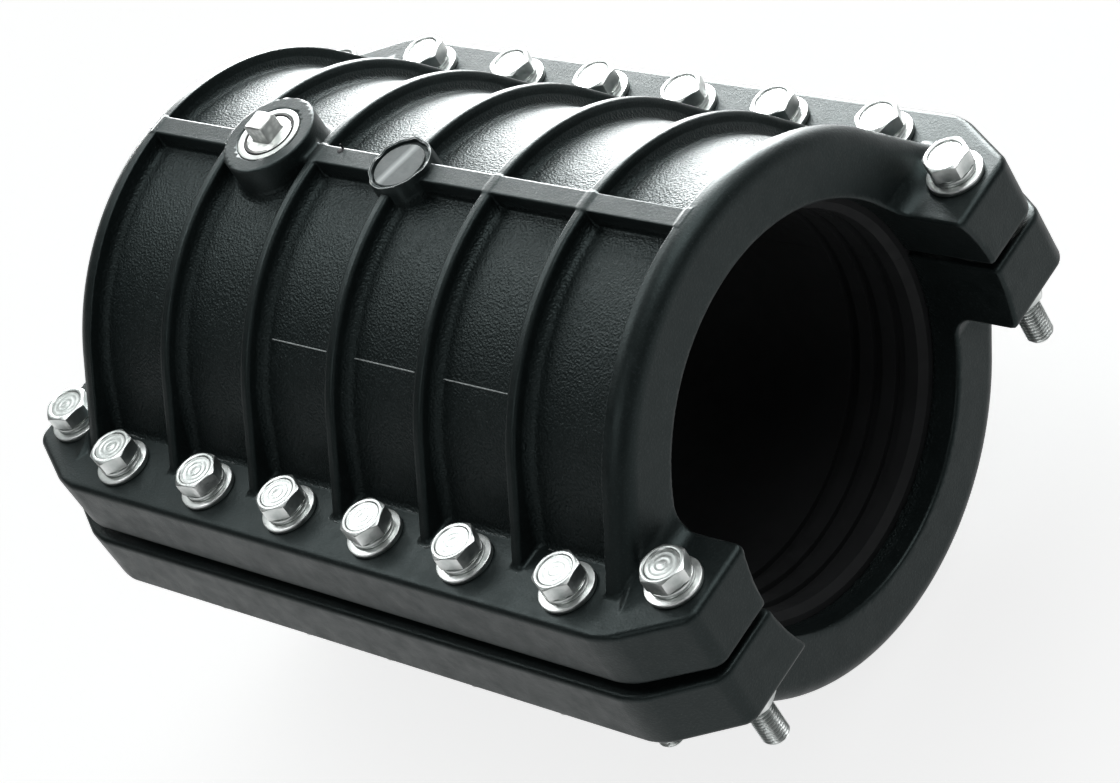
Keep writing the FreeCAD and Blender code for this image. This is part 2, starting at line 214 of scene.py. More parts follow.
class Finish:
    def __init__(self, name, **sockets):
        self.material = bpy.data.materials.new(name)
        self.material.use_nodes = True
        self.tree = self.material.node_tree
        self.shader = self.tree.nodes["Principled BSDF"]
        for socket, value in sockets.items():
            self.shader.inputs[socket.replace("_", " ")].default_value = value
        self.place = self.add("ShaderNodeTexCoord").outputs["Object"]

    def add(self, kind, settings=(), **inputs):
        node = self.tree.nodes.new(kind)
        for key, value in dict(settings).items():
            setattr(node, key, value)
        for key, value in inputs.items():
            self.feed(node.inputs[int(key[1:]) if key[0] == "i" and key[1:].isdigit() else key], value)
        return node

    def feed(self, socket, value):
        if isinstance(value, bpy.types.NodeSocket):
            self.tree.links.new(value, socket)
        else:
            socket.default_value = value

    def noise(self, scale, detail=2.0, rough=0.5):
        return self.add("ShaderNodeTexNoise", Vector=self.place, Scale=scale, Detail=detail,
                        Roughness=rough).outputs["Fac"]

    def cells(self, scale):
        return self.add("ShaderNodeTexVoronoi", Vector=self.place, Scale=scale).outputs["Distance"]

    def spread(self, value, low, high, toLow=0.0, toHigh=1.0):
        return self.add("ShaderNodeMapRange", i0=value, i1=low, i2=high, i3=toLow, i4=toHigh).outputs[0]

    def sum(self, a, b, kind="ADD"):
        return self.add("ShaderNodeMath", {"operation": kind}, i0=a, i1=b).outputs[0]

    def blend(self, share, low, high):
        mix = self.add("ShaderNodeMix", {"data_type": "RGBA"}, i0=share)
        self.feed(mix.inputs[6], low)
        self.feed(mix.inputs[7], high)
        return mix.outputs[2]

    def edge(self, low, high):  # 1 on sharp outer edges and 0 in the hollows
        return self.spread(self.add("ShaderNodeNewGeometry").outputs["Pointiness"], low, high)

    def bump(self, height, depth, strength=1.0, under=None):
        node = self.add("ShaderNodeBump", Height=height, Distance=depth, Strength=strength)
        if under:
            self.feed(node.inputs["Normal"], under)
        return node.outputs["Normal"]

    def paint(self, **links):
        for socket, value in links.items():
            self.feed(self.shader.inputs[socket.replace("_", " ")], value)
        return self.material


grain = {
    "pebble": 980.0, "pebbleDepth": 0.00045, "fine": 2600.0, "fineDepth": 0.00003, "swell": 55.0,
    "swellDepth": 0.0006, "bayReach": (0.1078, 0.1095), "bayLength": (0.148, 0.152), "ribShare": 0.16,
    "darkTone": (0.0022, 0.0034, 0.0034, 1), "lightTone": (0.0048, 0.0068, 0.0068, 1),
    "speckle": 0.3, "speckleTone": (0.030, 0.038, 0.040, 1), "dust": 0.35, "dustTone": (0.14, 0.16, 0.16, 1),
    "edgeLight": 0.16, "edgeLightTone": (0.06, 0.075, 0.075, 1), "gloss": 0.26, "glossTint": (0.78, 1.0, 1.0, 1),
    "smoothest": 0.36, "roughest": 0.48,
}


def mouldedBlack():
    f = Finish("mouldedBlackPlastic", Specular_IOR_Level=grain["gloss"], Specular_Tint=grain["glossTint"])
    cells = f.spread(f.cells(grain["pebble"] * 0.9), 0, 1, 0, 0.5)
    pebble = f.sum(f.noise(grain["pebble"], 2.5, 0.55), cells)
    aside = f.add("ShaderNodeVectorMath", {"operation": "MULTIPLY"}, i0=f.place, i1=(0, 1, 1)).outputs[0]
    reach = f.add("ShaderNodeVectorMath", {"operation": "LENGTH"}, i0=aside).outputs["Value"]
    along = f.add("ShaderNodeMath", {"operation": "ABSOLUTE"},
                  i0=f.add("ShaderNodeSeparateXYZ", Vector=f.place).outputs[0]).outputs[0]
    bays = f.sum(f.spread(reach, *grain["bayReach"], 1.0, grain["ribShare"]),
                 f.spread(along, *grain["bayLength"], 1.0, grain["ribShare"]), "MINIMUM")
    pebble = f.sum(pebble, bays, "MULTIPLY")  # ribs, collars and flanges are smoother than the bays
    swell = f.bump(f.noise(grain["swell"], 2), grain["swellDepth"], 0.35)
    pebbled = f.bump(pebble, grain["pebbleDepth"], 0.9, swell)
    fine = f.bump(f.noise(grain["fine"], 3, 0.6), grain["fineDepth"], 0.8, pebbled)
    tone = f.blend(f.noise(38, 4, 0.6), grain["darkTone"], grain["lightTone"])
    speckle = f.sum(f.spread(f.noise(grain["pebble"], 3, 0.7), 0.52, 0.70), grain["speckle"], "MULTIPLY")
    tone = f.blend(speckle, tone, grain["speckleTone"])
    dust = f.sum(f.spread(f.noise(1300, 2, 0.5), 0.69, 0.74), f.spread(f.noise(23, 3), 0.5, 0.72), "MULTIPLY")
    dusty = f.blend(f.sum(dust, grain["dust"], "MULTIPLY"), tone, grain["dustTone"])
    # painted highlight: sharp outer edges are painted a lighter grey
    paintedEdgeLight = f.blend(f.sum(f.edge(0.535, 0.62), grain["edgeLight"], "MULTIPLY"), dusty, grain["edgeLightTone"])
    rough = f.spread(f.noise(120, 4, 0.6), 0.3, 0.7, grain["smoothest"], grain["roughest"])
    return f.paint(Base_Color=paintedEdgeLight, Roughness=rough, Normal=fine)


plating = {
    "darkTone": (0.38, 0.415, 0.405, 1), "lightTone": (0.58, 0.61, 0.60, 1),
    "hollowShadeTone": (0.16, 0.16, 0.155, 1), "edgeShineTone": (0.93, 0.94, 0.93, 1),
}


def brightZinc():
    f = Finish("brightZincPlate", Metallic=1.0)
    blotch = f.spread(f.noise(210, 4, 0.6), 0.3, 0.7)
    tone = f.blend(blotch, plating["darkTone"], plating["lightTone"])
    # painted shade: hollows and creases are painted dark
    paintedHollowShade = f.blend(f.edge(0.42, 0.50), plating["hollowShadeTone"], tone)
    # painted highlight: sharp edges are painted near white
    paintedEdgeShine = f.blend(f.edge(0.53, 0.60), paintedHollowShade, plating["edgeShineTone"])
    rough = f.spread(f.noise(430, 3, 0.6), 0.3, 0.7, 0.29, 0.42)
    normal = f.bump(f.noise(1500, 3, 0.6), 0.00004, 0.6, f.bump(f.noise(320, 2), 0.00012, 0.5))
    return f.paint(Base_Color=paintedEdgeShine, Roughness=rough, Normal=normal)


flakes = {
    "size": 420.0, "lightTone": (0.74, 0.76, 0.74, 1), "darkTone": (0.46, 0.48, 0.47, 1),
    "edgeShineTone": (0.9, 0.92, 0.9, 1),
}


def galvanised():
    f = Finish("galvanisedPlug", Metallic=1.0)
    flake = f.spread(f.cells(flakes["size"]), 0.0, 0.7)
    tone = f.blend(flake, flakes["lightTone"], flakes["darkTone"])
    # painted highlight: sharp edges are painted near white
    paintedEdgeShine = f.blend(f.edge(0.53, 0.61), tone, flakes["edgeShineTone"])
    rough = f.spread(f.noise(300, 4, 0.6), 0.3, 0.7, 0.34, 0.52)
    normal = f.bump(f.noise(900, 3, 0.6), 0.00008, 0.7)
    return f.paint(Base_Color=paintedEdgeShine, Roughness=rough, Normal=normal)


turning = {"perMetre": 14000.0, "darkTone": (0.28, 0.30, 0.29, 1), "lightTone": (0.44, 0.46, 0.45, 1)}


def turnedMetal(centre):
    f = Finish("turnedInsertMetal", Metallic=0.9)
    apart = f.add("ShaderNodeVectorMath", {"operation": "SUBTRACT"}, i0=f.place, i1=centre).outputs[0]
    flat = f.add("ShaderNodeVectorMath", {"operation": "MULTIPLY"}, i0=apart, i1=(1, 1, 0)).outputs[0]
    reach = f.add("ShaderNodeVectorMath", {"operation": "LENGTH"}, i0=flat).outputs["Value"]
    circles = f.sum(reach, turning["perMetre"], "MULTIPLY")
    grooves = f.add("ShaderNodeMath", {"operation": "SINE"}, i0=circles).outputs[0]
    tone = f.blend(f.noise(260, 4, 0.65), turning["darkTone"], turning["lightTone"])
    rough = f.spread(f.noise(350, 3), 0.3, 0.7, 0.36, 0.55)
    normal = f.bump(grooves, 0.00002, 0.6, f.bump(f.noise(700, 3), 0.00006, 0.5))
    return f.paint(Base_Color=tone, Roughness=rough, Normal=normal)


def rubber(name, low, high):
    f = Finish(name, Specular_IOR_Level=0.15)
    tone = f.blend(f.noise(90, 4, 0.6), low, high)
    rough = f.spread(f.noise(180, 3), 0.3, 0.7, 0.55, 0.75)
    normal = f.bump(f.noise(1400, 3, 0.6), 0.00005, 0.7)
    return f.paint(Base_Color=tone, Roughness=rough, Normal=normal)


scratch = {
    "slope": -0.25, "offset": 0.0012, "width": 0.0030, "wander": 0.0006, "strength": 0.4,
    "tone": (0.36, 0.39, 0.39, 1), "darkTone": (0.025, 0.032, 0.032, 1), "lightTone": (0.05, 0.06, 0.06, 1),
}


def trimmedPlastic():  # cut flat with a blade that left one pale scratch
    f = Finish("trimmedPlastic", Specular_IOR_Level=0.16)
    place = f.add("ShaderNodeSeparateXYZ", Vector=f.place).outputs
    wander = f.spread(f.noise(160, 3), 0, 1, -scratch["wander"], scratch["wander"])
    apart = f.sum(f.sum(place[1], scratch["slope"], "MULTIPLY"), f.sum(place[0], scratch["offset"]))
    away = f.add("ShaderNodeMath", {"operation": "ABSOLUTE"}, i0=f.sum(apart, wander)).outputs[0]
    line = f.spread(away, 0.0, scratch["width"], 1.0, 0.0)
    tone = f.blend(f.noise(300, 4, 0.6), scratch["darkTone"], scratch["lightTone"])
    marked = f.blend(f.sum(line, scratch["strength"], "MULTIPLY"), tone, scratch["tone"])
    rough = f.spread(f.noise(400, 3), 0.3, 0.7, 0.5, 0.65)
    return f.paint(Base_Color=marked, Roughness=rough, Normal=f.bump(f.noise(900, 3), 0.00008, 0.5))


# pale grey finish for the flash and burrs; on the parting lines it is a painted glint along the ridge
def flashAndGlintPlastic():
    f = Finish("flashAndGlintPlastic", Specular_IOR_Level=0.3, Roughness=0.5)
    tone = f.blend(f.noise(700, 2), (0.05, 0.06, 0.06, 1), (0.38, 0.41, 0.41, 1))
    return f.paint(Base_Color=tone)


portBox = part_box("port_insert")
portCentre = (portBox[0] + portBox[1]) / 2
blackPlastic, zinc, plugMetal = mouldedBlack(), brightZinc(), galvanised()
gatePlastic, paleFlashAndGlint = trimmedPlastic(), flashAndGlintPlastic()
insertMetal = turnedMetal(tuple(portCentre))
liningRubberAndNickShade = rubber("liningRubberAndNickShade", (0.008, 0.0085, 0.009, 1), (0.016, 0.017, 0.018, 1))
sealRubber = rubber("sealRubber", (0.008, 0.008, 0.008, 1), (0.02, 0.02, 0.02, 1))
print("finishes made")


# moulded casings

upperBox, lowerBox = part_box("upper_shell"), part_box("lower_shell")
casing = {
    "barrelRadius": 105.0, "barrelFoot": 103.0, "barrelEnd": 152.0, "crownFoot": 96.0,
    "ribRadius": 113.7, "ribFoot": 116.5, "ribHalf": 2.65, "ribPitch": 50.4, "ribReach": 2,
    "ribFillet": 4.2, "ribEdge": 1.7,
    "collarFrom": 148.5, "collarTo": 159.5, "collarFoot": 117.5, "collarEdge": 8.5, "collarInside": 3.4,
    "barHalf": 4.7, "barTop": 113.8, "barEnd": 151.0, "barDrop": 0.35, "dropFrom": 101.0, "dropTo": 103.0,
    "barFillet": 1.0, "sharpEdge": 0.5,
    "boreRadius": 86.0, "boreEdge": 1.7, "recessRadius": 93.0, "recessHalf": 146.0,
    "gap": upperBox[0].z / mm, "flangeTop": 30.9, "flangeEdge": 2.8, "underEdge": 2.4, "gapEdge": 0.4,
    "flangeFillet": 1.6, "collarFillet": 9.0, "filletFrom": 155.0, "filletTo": 160.0,
    "cornerStart": 158.0, "cornerRound": 4.0, "earEnd": upperBox[1].x / mm,
    "upperEarHalf": 117.0, "lowerEarHalf": 119.5,
    "holeRadius": 6.75, "holeEdge": 0.6,
    "holes": ((25.2, 118.6), (75.6, 118.6), (130.5, 118.6), (174.1, 104.4)),
    "portX": portCentre.x / mm, "bossRadius": 21.4, "bossTop": portBox[1].z / mm, "bossEdge": 0.9,
    "bossFillet": 2.6, "seatRadius": 14.5, "seatFloor": 104.0, "portHole": 9.0,
    "gateRadius": 13.2, "gateFloor": 115.0, "gateEdge": 0.4, "gateFillet": 1.0,
}


def bowed(y, z, radius, foot):  # round crown, then a straight side down to the foot on the flange
    start = math.atan2(casing["flangeTop"], foot)
    start += math.acos(radius / math.hypot(foot, casing["flangeTop"]))
    out, up = math.cos(start), math.sin(start)
    side = np.abs(y)
    outline = np.where(side * up > z * out, side * out + z * up, np.hypot(y, z)) - radius
    return np.maximum(outline, side - foot)


def casingField(flangeHalf, earHalf, hasPort):
    c = casing
    slopeX, slopeY = flangeHalf - earHalf, c["earEnd"] - c["cornerStart"]
    slope = math.hypot(slopeX, slopeY)

    def field(x, y, z):
        along, across, reach = np.abs(x), np.abs(y), np.hypot(y, z)
        barrel = np.maximum(bowed(y, z, c["barrelRadius"], c["barrelFoot"]), along - c["barrelEnd"])
        nearest = np.clip(np.round(x / c["ribPitch"]), -c["ribReach"], c["ribReach"]) * c["ribPitch"]
        beside = np.abs(x - nearest) - c["ribHalf"]
        rib = roundEdge(bowed(y, z, c["ribRadius"], c["ribFoot"]), beside, c["ribEdge"])
        body = fillet(barrel, rib, c["ribFillet"])
        collar = bowed(y, z, c["ribRadius"], c["collarFoot"])
        collar = roundEdge(collar, along - c["collarTo"], c["collarEdge"])
        collar = roundEdge(collar, c["collarFrom"] - along, c["sharpEdge"])
        body = fillet(body, collar, c["collarInside"])
        barLevel = z - c["barTop"] + c["barDrop"] * ease(x, c["dropFrom"], c["dropTo"])
        bar = np.maximum(roundEdge(across - c["barHalf"], barLevel, c["sharpEdge"]), along - c["barEnd"])
        body = fillet(body, np.maximum(bar, c["crownFoot"] - z), c["barFillet"])
        corner = ((along - c["cornerStart"]) * slopeX + (across - flangeHalf) * slopeY) / slope
        plan = roundEdge(along - c["earEnd"], corner, c["cornerRound"])
        plan = roundEdge(plan, across - flangeHalf, c["cornerRound"])
        plate = roundEdge(roundEdge(plan, z - c["flangeTop"], c["flangeEdge"]), c["gap"] - z, c["underEdge"])
        wider = (c["collarFillet"] - c["flangeFillet"]) * ease(along, c["filletFrom"], c["filletTo"])
        body = fillet(body, plate, c["flangeFillet"] + wider)
        if hasPort:
            fromPort = np.hypot(x - c["portX"], y)
            boss = roundEdge(fromPort - c["bossRadius"], z - c["bossTop"], c["bossEdge"])
            body = fillet(body, np.maximum(boss, c["crownFoot"] - z), c["bossFillet"])
            seat = np.maximum(fromPort - c["seatRadius"], c["seatFloor"] - z)
            body = np.maximum(roundEdge(body, -seat, c["sharpEdge"]), c["portHole"] - fromPort)
        gate = roundEdge(np.hypot(x, y) - c["gateRadius"], z - c["gateFloor"], c["gateEdge"])
        body = fillet(body, np.maximum(gate, c["crownFoot"] - z), c["gateFillet"])
        body = roundEdge(body, c["boreRadius"] - reach, c["boreEdge"])
        body = np.maximum(body, -np.maximum(reach - c["recessRadius"], along - c["recessHalf"]))
        hole = np.inf
        for holeX, holeY in c["holes"]:
            hole = np.minimum(hole, np.hypot(along - holeX, across - holeY) - c["holeRadius"])
        return roundEdge(roundEdge(body, -hole, c["holeEdge"]), c["gap"] - z, c["gapEdge"])
    return field


grid = {  # spans are (from, to, spacing)
    "ribMargin": 8.0, "ribStep": 0.75, "bayStep": 2.6, "earStep": 1.6, "quickTimes": 2.0,
    "collarStart": 143.0, "collarEnd": 163.0, "end": 192.4,
    "across": ((0, 6.5, 0.6), (6.5, 84, 1.9), (84, 112, 1.6), (112, 141.4, 1.2)),
    "upward": ((0.3, 6, 0.9), (6, 26, 1.7), (26, 37, 0.9), (37, 98, 1.9), (98, 121.6, 0.9)),
}


def casingLines(times):  # spacings are multiplied by times
    start, end, margin = grid["collarStart"], grid["collarEnd"], grid["ribMargin"]
    wide, tight, ears = grid["bayStep"] * times, grid["ribStep"] * times, grid["earStep"] * times
    along, reached = [(-grid["end"], -end, ears), (-end, -start, tight)], -start
    for n in range(-casing["ribReach"], casing["ribReach"] + 1):
        rib = n * casing["ribPitch"]
        along += [(reached, rib - margin, wide), (rib - margin, rib + margin, tight)]
        reached = rib + margin
    along += [(reached, start, wide), (start, end, tight), (end, grid["end"], ears)]
    across = [(-high, -low, step * times) for low, high, step in grid["across"][::-1]]
    across += [(low, high, step * times) for low, high, step in grid["across"]]
    upward = [(low, high, step * times) for low, high, step in grid["upward"]]
    return [stops(*along), stops(*across), stops(*upward)]


def makeCasing(name, box, earHalf, hasPort, turnedOver, node, body):
    field = casingField(box[1].y / mm, earHalf, hasPort)
    points, faces = skinOf(field, casingLines(1.0))
    points, normals = settle(field, points)
    if turnedOver:
        points, normals = points * (1, -1, -1), normals * (1, -1, -1)
    makePiece(name, points, faces, blackPlastic, body, "moulded_plastic", [node], normals)
    print(name, "has", len(faces), "faces")


makeCasing("upperCasing", upperBox, casing["upperEarHalf"], True, False, "upper_shell", "upper_half")
makeCasing("lowerCasing", lowerBox, casing["lowerEarHalf"], False, True, "lower_shell", "lower_half")


# mould marks: parting lines, the trimmed gate and thin flash round the feet of the ribs

marks = {
    "lineAngle": 48.1, "lineHalf": 0.28, "lineHeight": 0.26,
    "lineSpans": ((-43.3, -11.1), (4.1, 39.6), (54.0, 90.6)),
    "gateTop": 116.3, "faceRadius": 11.3, "faceDrop": 0.45, "faceShift": (0.0, -0.7, 0.0),
    "rimRadius": 14.1, "rimWall": 1.5, "rimFoot": 104.0, "burrRise": 0.16, "burrInset": 0.1, "burrWall": 0.34,
    "nickPlace": (-38.5, 2.9, 113.6), "nickRadius": 1.7, "nickPin": 0.55, "nickRise": 2.4, "nickShift": 1.5,
    "flashOut": 1.3, "flashHeight": 1.2, "flashHalf": 0.2, "flashStep": 0.7, "flashEnd": 147.0, "seed": 11,
    "patchLength": 9, "patchStart": 0.46, "patchFull": 0.58, "rootDepth": 0.3,
}


def partingLine(low, high):
    angle, half, height = math.radians(marks["lineAngle"]), marks["lineHalf"], marks["lineHeight"]
    out = np.array([0, -math.cos(angle), math.sin(angle)])
    side = np.array([0, math.sin(angle), math.cos(angle)])
    outline = [(-half, -marks["rootDepth"]), (-half, 0.02), (-half * 0.5, height),
               (half * 0.5, height), (half, 0.02), (half, -marks["rootDepth"])]
    ring = np.array([out * (casing["barrelRadius"] + lift) + side * reach for reach, lift in outline])
    return prism([ring + (x, 0, 0) for x in (low, high)])


def flashPath(side):  # follows the foot of the barrel and goes round every rib
    m, c = marks, casing
    near, far = c["barrelFoot"] + m["flashOut"], c["ribFoot"] + m["flashOut"]
    half = c["ribHalf"] + m["flashOut"]
    corners = [(-m["flashEnd"], near)]
    for n in range(-c["ribReach"], c["ribReach"] + 1):
        rib = n * c["ribPitch"]
        corners += [(rib - half, near), (rib - half, far - 1), (rib - half + 1, far), (rib + half - 1, far),
                    (rib + half, far - 1), (rib + half, near)]
    corners = np.array(corners + [(m["flashEnd"], near)]) * (1, side)
    lengths = np.concatenate([[0], np.cumsum(np.hypot(*np.diff(corners, axis=0).T))])
    along = np.arange(0, lengths[-1], m["flashStep"])
    return np.stack([np.interp(along, lengths, corners[:, n]) for n in (0, 1)], axis=1)


def flashStrip(side):
    path, chance = flashPath(side), np.random.default_rng(marks["seed"] + side)
    along = np.gradient(path, axis=0)
    across = np.stack([-along[:, 1], along[:, 0]], axis=1) / np.linalg.norm(along, axis=1)[:, None]
    spread = np.ones(marks["patchLength"]) / marks["patchLength"]
    patches = np.convolve(chance.random(len(path)), spread, "same")
    ribSide = (np.abs(path[:, 1]) > casing["barrelFoot"] + 3) & (np.abs(path[:, 1]) < casing["ribFoot"] - 1)
    heights = marks["flashHeight"] * chance.random(len(path)) ** 1.5
    heights = np.where(ribSide, 0, heights * ease(patches, marks["patchStart"], marks["patchFull"])) - 0.1
    level, half, sections = casing["flangeTop"], marks["flashHalf"], []
    for spot, out, height in zip(path, across, heights):
        outline = [(-half, -marks["rootDepth"]), (-half * 0.3, height),
                   (half * 0.3, height), (half, -marks["rootDepth"])]
        sections.append(np.array([(*(spot + out * reach), level + lift) for reach, lift in outline]))
    return prism(sections)


def torn(angle):  # unevenness left where the sprue was cut off
    return 0.28 * np.sin(3 * angle + 0.7) + 0.2 * np.sin(7 * angle + 2.1) + 0.16 * np.sin(12 * angle + 1)


def gateFace():
    top, radius = marks["gateTop"] - marks["faceDrop"], marks["faceRadius"]
    rings = [(hub, top - 1.0), (radius, top - 1.0), (radius + 0.1, top - 0.2), (radius - 0.15, top),
             (hub, top)]
    return turned(rings, 48)


def gateRim(rise, inset, wall):
    top, outer = marks["gateTop"], marks["rimRadius"] - inset

    def level(drop):
        return lambda angle: top + rise + torn(angle + 1) * 0.8 - drop

    def reach(back):
        return lambda angle: outer + torn(angle) * 0.9 - back
    rings = [(reach(-0.3), marks["rimFoot"]), (reach(0), level(0.4)), (reach(0.12), level(0.08)),
             (reach(0.3), level(0)), (reach(wall - 0.2), level(0)), (reach(wall), level(0.3)),
             (reach(wall), marks["rimFoot"])]
    return turned(rings, 120, closed=True)


def nickShape():
    radius, pin, rise = marks["nickRadius"], marks["nickPin"], marks["nickRise"]
    points, faces = turned([(hub, -0.6), (pin, -0.6), (pin * 0.6, rise), (hub, rise)], 10)
    # painted shade: a thin dark disc on the bar top stands for the shadow inside the nick
    nickShadeDisc = turned([(hub, -0.4), (radius, -0.4), (radius, 0.2), (radius - 0.1, 0.26), (hub, 0.26)], 16)
    return together(nickShadeDisc, (points + (0, marks["nickShift"], 0), faces))


# the parting lines take the pale finish as a painted glint along their ridge
points, faces = together(*(partingLine(low, high) for low, high in marks["lineSpans"]))
makePiece("partingLines", points, faces, paleFlashAndGlint, "upper_half", "moulded_plastic")
points, faces = together(flashStrip(-1), flashStrip(1))
makePiece("upperFlash", points, faces, paleFlashAndGlint, "upper_half", "moulded_plastic")
makePiece("lowerFlash", points * (1, -1, -1), faces, paleFlashAndGlint, "lower_half", "moulded_plastic")
points, faces = gateFace()
makePiece("gateFace", points + marks["faceShift"], faces, gatePlastic, "upper_half", "moulded_plastic")
makePiece("gateRim", *gateRim(0, 0, marks["rimWall"]), blackPlastic, "upper_half", "moulded_plastic")
points, faces = gateRim(marks["burrRise"], marks["burrInset"], marks["burrWall"])
makePiece("gateBurr", points, faces, paleFlashAndGlint, "upper_half", "moulded_plastic")
points, faces = nickShape()
# the nick takes the dark lining rubber as its painted shade
makePiece("barNickShade", points + marks["nickPlace"], faces, liningRubberAndNickShade, "upper_half", "moulded_plastic")
print("mould marks made")


# bolts, washers and nuts

bolt = {
    "flats": 18.0, "cornerEase": 0.6, "headHeight": 7.5, "bevelAngle": 30.0, "collarRadius": 8.75,
    "dishRadius": 7.6, "dishDepth": 0.6,
    "dishRings": ((1.6, 0.08), (2.0, 0.0), (2.6, 0.0), (3.0, 0.09), (3.6, 0.09), (4.0, 0.01), (5.0, 0.01),
                  (5.4, 0.09), (5.9, 0.09), (6.3, 0.02)),  # radius and rise above the dish
    "shankRadius": 5.9, "threadTop": 5.95, "threadRoot": 5.0, "threadLength": 33.0, "pitch": 1.75,
    "ringsPerTurn": 7, "tipBevel": 1.4, "segments": 48, "sharpAngle": 24.0,
}
headTurn = {  # how far each head was turned when it was tightened, in degrees
    "front_1": 12, "front_2": 41, "front_3": 8, "front_4": 27, "front_5": 50, "front_6": 18, "front_7": 35,
    "front_8": 4, "back_1": 22, "back_2": 47, "back_3": 15, "back_4": 33, "back_5": 3, "back_6": 38,
    "back_7": 11, "back_8": 26,
}


def boltShape(underHead, tip, spin):
    b = bolt
    hexagon, top = evenSided(6, b["flats"], b["cornerEase"]), underHead + b["headHeight"]
    dish, floor = b["dishRadius"], top - b["dishDepth"]

    def bevelled(angle):
        slope = math.tan(math.radians(b["bevelAngle"]))
        return top - np.maximum(hexagon(angle) - b["collarRadius"], 0) * slope

    rings = [(hub, floor + b["dishRings"][0][1])]
    rings += [(radius, floor + rise) for radius, rise in b["dishRings"]]
    rings += [(dish - 0.5, floor + 0.06), (dish - 0.1, top - 0.12), (dish + 0.2, top),
              (b["collarRadius"] - 0.25, top), (b["collarRadius"], top - 0.06)]
    rings += [(lambda a: hexagon(a) - 0.12, bevelled), (hexagon, lambda a: bevelled(a) - 0.18),
              (hexagon, underHead + 0.75), (lambda a: hexagon(a) - 0.15, underHead + 0.5)]
    rings += [(b["collarRadius"] + 0.1, underHead + 0.35), (b["collarRadius"], underHead),
              (b["shankRadius"] + 0.4, underHead), (b["shankRadius"], underHead - 0.5)]
    start = tip + b["threadLength"]
    rings.append((b["shankRadius"], start + 1.0))
    for level in np.arange(start, tip + b["tipBevel"], -b["pitch"] / b["ringsPerTurn"]):
        fade = min(1.0, (start - level) / b["pitch"])  # the thread runs out towards the head

        def wound(angle, level=level, fade=fade):
            ridge = threadRidge(level / b["pitch"] - (angle + spin) / (2 * math.pi))
            crest = b["threadRoot"] + (b["threadTop"] - b["threadRoot"]) * ridge
            return b["shankRadius"] + (crest - b["shankRadius"]) * fade
        rings.append((wound, level))
    rings += [(b["threadRoot"] + 0.1, tip + b["tipBevel"] * 0.7), (b["threadRoot"] - 0.7, tip + 0.1),
              (b["threadRoot"] - 1.2, tip), (hub, tip)]
    return turned(rings[::-1], b["segments"], spin=spin)


washer = {
    "edge": 0.55, "holeGap": 0.6, "segments": 60, "springInner": 6.2, "springOuter": 9.35, "springEdge": 0.4,
    "springLean": 0.12, "springThin": 0.9, "springSlant": 0.02, "splitAngle": 5.0,
    "splitFirst": 1.9, "splitStep": 0.37, "splitRange": 1.3,  # where each split faces, in radians
}


def flatWasher(box):
    low, high = box[0].z / mm, box[1].z / mm
    outer, e = (box[1].x - box[0].x) / 2 / mm, washer["edge"]
    hole = bolt["shankRadius"] + washer["holeGap"]
    rings = [(hole, low + e / 2), (hole + e / 2, low), (outer - e, low), (outer - e * 0.3, low + e * 0.3),
             (outer, low + e), (outer, high - e), (outer - e * 0.3, high - e * 0.3), (outer - e, high),
             (hole + e, high), (hole, high - e)]
    return turned(rings, washer["segments"], closed=True)


def springWasher(box, spin):  # one turn with a split, its ends a little apart in height
    w, low, high = washer, box[0].z / mm, box[1].z / mm
    outer, inner, e, middle = w["springOuter"], w["springInner"], w["springEdge"], (low + high) / 2
    outline = [(inner, low + e), (inner + e, low), (outer - e, low), (outer - 0.1, low + 0.15),
               (outer, low + e), (outer, high - e), (outer - 0.1, high - 0.15), (outer - e, high),
               (inner + e, high), (inner, high - e)]
    split, sections = math.radians(w["splitAngle"]), []
    for angle in np.linspace(split / 2, 2 * math.pi - split / 2, w["segments"]):
        lift, section = w["springLean"] * (angle / math.pi - 1), []
        for reach, level in outline:
            level = (level - middle) * w["springThin"] + middle + lift
            turn = angle + spin + (level - middle) * w["springSlant"]
            section.append((reach * math.cos(turn), reach * math.sin(turn), level))
        sections.append(section)
    return prism(sections)


nut = {
    "flats": 18.0, "cornerEase": 0.6, "bevelAngle": 30.0, "bevelRadius": 8.6, "hole": 6.02, "holeBevel": 0.8,
    "segments": 48, "turnFirst": 0.2, "turnStep": 0.83,  # how each nut is turned, in radians
}


def nutShape(low, high, spin):
    hexagon, slope = evenSided(6, nut["flats"], nut["cornerEase"]), math.tan(math.radians(nut["bevelAngle"]))
    hole, bevel = nut["hole"], nut["holeBevel"]

    def drop(angle):
        return np.maximum(hexagon(angle) - nut["bevelRadius"], 0) * slope + 0.15

    rings = [(hole, high - bevel), (hole, low + bevel), (hole + bevel, low), (nut["bevelRadius"], low),
             (lambda a: hexagon(a) - 0.1, lambda a: low + drop(a)),
             (hexagon, lambda a: low + drop(a) + 0.15), (hexagon, lambda a: high - drop(a) - 0.15),
             (lambda a: hexagon(a) - 0.1, lambda a: high - drop(a)),
             (nut["bevelRadius"], high), (hole + bevel, high)]
    return turned(rings, nut["segments"], closed=True, spin=spin)


